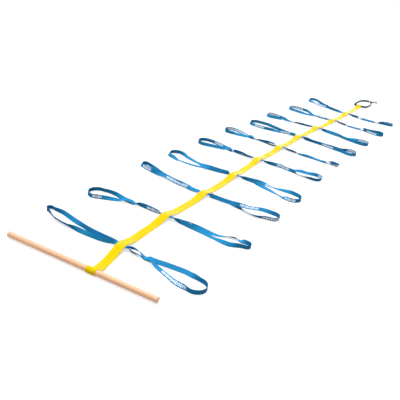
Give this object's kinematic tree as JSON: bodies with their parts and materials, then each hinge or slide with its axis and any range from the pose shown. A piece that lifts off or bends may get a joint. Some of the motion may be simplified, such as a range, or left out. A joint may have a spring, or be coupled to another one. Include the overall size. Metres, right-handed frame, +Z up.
{
  "type": "agility ladder",
  "caption": "Webbing ladder: one flat centre strap with paired hand-loop rungs, a wooden bar through a sewn eye at one end and a tape loop with a snap clip at the other.",
  "frame": {"origin": "on the floor under the middle of the laid-out strap, on the underside of its middle section, between the fifth and sixth rungs", "axes": "+Y along the strap from the wooden bar to the clip, +X to the right seen from the bar, +Z up"},
  "size_m": [1.0786, 5.0506, 0.0334],
  "materials": {
    "beech": "turned smooth, matt oil",
    "yellow_webbing": "flat woven webbing",
    "blue_tape": "flat woven tape",
    "teal_tape": "flat woven tape",
    "grey_metal": "satin",
    "red_anodised": "red anodised",
    "steel": "plain"
  },
  "bodies": {
    "bar": {"wooden_bar": "beech"},
    "eye": {"bar_eye": "yellow_webbing"},
    "strap_1": {"strap_section_1": "yellow_webbing", "rung_tape_1": "blue_tape"},
    "left_1": {"left_loop_1": "blue_tape"},
    "right_1": {"right_loop_1": "blue_tape"},
    "strap_2": {"strap_section_2": "yellow_webbing", "rung_tape_2": "blue_tape"},
    "left_2": {"left_loop_2": "blue_tape"},
    "right_2": {"right_loop_2": "blue_tape"},
    "strap_3": {"strap_section_3": "yellow_webbing", "rung_tape_3": "blue_tape"},
    "left_3": {"left_loop_3": "blue_tape"},
    "right_3": {"right_loop_3": "blue_tape"},
    "strap_4": {"strap_section_4": "yellow_webbing", "rung_tape_4": "blue_tape"},
    "left_4": {"left_loop_4": "blue_tape"},
    "right_4": {"right_loop_4": "blue_tape"},
    "strap_5": {"strap_section_5": "yellow_webbing", "rung_tape_5": "blue_tape"},
    "left_5": {"left_loop_5": "blue_tape"},
    "right_5": {"right_loop_5": "blue_tape"},
    "strap_6": {"strap_section_6": "yellow_webbing", "rung_tape_6": "blue_tape"},
    "left_6": {"left_loop_6": "blue_tape"},
    "right_6": {"right_loop_6": "blue_tape"},
    "strap_7": {"strap_section_7": "yellow_webbing", "rung_tape_7": "blue_tape"},
    "left_7": {"left_loop_7": "blue_tape"},
    "right_7": {"right_loop_7": "blue_tape"},
    "strap_8": {"strap_section_8": "yellow_webbing", "rung_tape_8": "blue_tape"},
    "left_8": {"left_loop_8": "blue_tape"},
    "right_8": {"right_loop_8": "blue_tape"},
    "strap_9": {"strap_section_9": "yellow_webbing", "rung_tape_9": "blue_tape"},
    "left_9": {"left_loop_9": "blue_tape"},
    "right_9": {"right_loop_9": "blue_tape"},
    "strap_10": {"strap_section_10": "yellow_webbing", "rung_tape_10": "blue_tape"},
    "left_10": {"left_loop_10": "blue_tape"},
    "right_10": {"right_loop_10": "blue_tape"},
    "strap_11": {"strap_section_11": "yellow_webbing", "end_eye": "yellow_webbing"},
    "end_loop": {"end_loop": "teal_tape"},
    "clip": {"clip_body": "grey_metal", "gate_rivet": "steel"},
    "gate": {"clip_gate": "red_anodised"}
  },
  "joints": [
    {"name": "bar_slide", "type": "slide", "parent": "eye", "child": "bar", "axis": [0.9989, 0.0471, 0], "range_m": [-0.306, 0.443]},
    {"name": "lap_fold", "type": "hinge", "parent": "strap_1", "child": "eye", "pos_m": [0.06187, -2.08948, 0.0048], "axis": [-0.9989, -0.0471, 0], "range_deg": [0, 60]},
    {"name": "fold_1", "type": "hinge", "parent": "strap_2", "child": "strap_1", "pos_m": [0.02772, -1.8715, 0.02], "axis": [1, 0, 0], "range_deg": [0, 120]},
    {"name": "left_lift_1", "type": "hinge", "parent": "strap_1", "child": "left_1", "pos_m": [0.00242, -1.89, 0.0197], "axis": [0, -1, 0], "range_deg": [-85, 0]},
    {"name": "right_lift_1", "type": "hinge", "parent": "strap_1", "child": "right_1", "pos_m": [0.05302, -1.89, 0.0197], "axis": [0, 1, 0], "range_deg": [-85, 0]},
    {"name": "fold_2", "type": "hinge", "parent": "strap_3", "child": "strap_2", "pos_m": [0.0084, -1.4515, 0.0224], "axis": [-1, 0, 0], "range_deg": [0, 120]},
    {"name": "left_lift_2", "type": "hinge", "parent": "strap_2", "child": "left_2", "pos_m": [-0.0169, -1.47, 0.0197], "axis": [0, -1, 0], "range_deg": [-85, 0]},
    {"name": "right_lift_2", "type": "hinge", "parent": "strap_2", "child": "right_2", "pos_m": [0.0337, -1.47, 0.0197], "axis": [0, 1, 0], "range_deg": [-85, 0]},
    {"name": "fold_3", "type": "hinge", "parent": "strap_4", "child": "strap_3", "pos_m": [0.01176, -1.0315, 0.02], "axis": [1, 0, 0], "range_deg": [0, 120]},
    {"name": "left_lift_3", "type": "hinge", "parent": "strap_3", "child": "left_3", "pos_m": [-0.01354, -1.05, 0.0197], "axis": [0, -1, 0], "range_deg": [-85, 0]},
    {"name": "right_lift_3", "type": "hinge", "parent": "strap_3", "child": "right_3", "pos_m": [0.03706, -1.05, 0.0197], "axis": [0, 1, 0], "range_deg": [-85, 0]},
    {"name": "fold_4", "type": "hinge", "parent": "strap_5", "child": "strap_4", "pos_m": [0.0063, -0.6115, 0.0224], "axis": [-1, 0, 0], "range_deg": [0, 120]},
    {"name": "left_lift_4", "type": "hinge", "parent": "strap_4", "child": "left_4", "pos_m": [-0.019, -0.63, 0.0197], "axis": [0, -1, 0], "range_deg": [-85, 0]},
    {"name": "right_lift_4", "type": "hinge", "parent": "strap_4", "child": "right_4", "pos_m": [0.0316, -0.63, 0.0197], "axis": [0, 1, 0], "range_deg": [-85, 0]},
    {"name": "fold_5", "type": "hinge", "parent": "strap_6", "child": "strap_5", "pos_m": [-0.00294, -0.1915, 0.02], "axis": [1, 0, 0], "range_deg": [0, 120]},
    {"name": "left_lift_5", "type": "hinge", "parent": "strap_5", "child": "left_5", "pos_m": [-0.02824, -0.21, 0.0197], "axis": [0, -1, 0], "range_deg": [-85, 0]},
    {"name": "right_lift_5", "type": "hinge", "parent": "strap_5", "child": "right_5", "pos_m": [0.02236, -0.21, 0.0197], "axis": [0, 1, 0], "range_deg": [-85, 0]},
    {"name": "fold_6", "type": "hinge", "parent": "strap_6", "child": "strap_7", "pos_m": [0.00294, 0.2285, 0.0224], "axis": [1, 0, 0], "range_deg": [0, 120]},
    {"name": "left_lift_6", "type": "hinge", "parent": "strap_6", "child": "left_6", "pos_m": [-0.02236, 0.21, 0.0197], "axis": [0, -1, 0], "range_deg": [-85, 0]},
    {"name": "right_lift_6", "type": "hinge", "parent": "strap_6", "child": "right_6", "pos_m": [0.02824, 0.21, 0.0197], "axis": [0, 1, 0], "range_deg": [-85, 0]},
    {"name": "fold_7", "type": "hinge", "parent": "strap_7", "child": "strap_8", "pos_m": [0.00882, 0.6485, 0.02], "axis": [-1, 0, 0], "range_deg": [0, 120]},
    {"name": "left_lift_7", "type": "hinge", "parent": "strap_7", "child": "left_7", "pos_m": [-0.01648, 0.63, 0.0197], "axis": [0, -1, 0], "range_deg": [-85, 0]},
    {"name": "right_lift_7", "type": "hinge", "parent": "strap_7", "child": "right_7", "pos_m": [0.03412, 0.63, 0.0197], "axis": [0, 1, 0], "range_deg": [-85, 0]},
    {"name": "fold_8", "type": "hinge", "parent": "strap_8", "child": "strap_9", "pos_m": [0.02982, 1.0685, 0.0224], "axis": [1, 0, 0], "range_deg": [0, 120]},
    {"name": "left_lift_8", "type": "hinge", "parent": "strap_8", "child": "left_8", "pos_m": [0.00452, 1.05, 0.0197], "axis": [0, -1, 0], "range_deg": [-85, 0]},
    {"name": "right_lift_8", "type": "hinge", "parent": "strap_8", "child": "right_8", "pos_m": [0.05512, 1.05, 0.0197], "axis": [0, 1, 0], "range_deg": [-85, 0]},
    {"name": "fold_9", "type": "hinge", "parent": "strap_9", "child": "strap_10", "pos_m": [0.06006, 1.4885, 0.02], "axis": [-1, 0, 0], "range_deg": [0, 120]},
    {"name": "left_lift_9", "type": "hinge", "parent": "strap_9", "child": "left_9", "pos_m": [0.03476, 1.47, 0.0197], "axis": [0, -1, 0], "range_deg": [-85, 0]},
    {"name": "right_lift_9", "type": "hinge", "parent": "strap_9", "child": "right_9", "pos_m": [0.08536, 1.47, 0.0197], "axis": [0, 1, 0], "range_deg": [-85, 0]},
    {"name": "fold_10", "type": "hinge", "parent": "strap_10", "child": "strap_11", "pos_m": [0.07518, 1.9085, 0.0224], "axis": [1, 0, 0], "range_deg": [0, 120]},
    {"name": "left_lift_10", "type": "hinge", "parent": "strap_10", "child": "left_10", "pos_m": [0.04988, 1.89, 0.0197], "axis": [0, -1, 0], "range_deg": [-85, 0]},
    {"name": "right_lift_10", "type": "hinge", "parent": "strap_10", "child": "right_10", "pos_m": [0.10048, 1.89, 0.0197], "axis": [0, 1, 0], "range_deg": [-85, 0]},
    {"name": "end_loop_lift", "type": "hinge", "parent": "strap_11", "child": "end_loop", "pos_m": [0.0819, 2.4, 0.01273], "axis": [-1, 0, 0], "range_deg": [-80, 0]},
    {"name": "clip_swing", "type": "hinge", "parent": "end_loop", "child": "clip", "pos_m": [0.13002, 2.785, 0.0055], "axis": [-0.7733, 0.6341, 0], "range_deg": [-70, 0]},
    {"name": "gate_open", "type": "hinge", "parent": "clip", "child": "gate", "pos_m": [0.15336, 2.78514, 0.0055], "axis": [0, 0, 1], "range_deg": [0, 28], "stiffness_Nm_per_rad": 0.02}
  ]
}
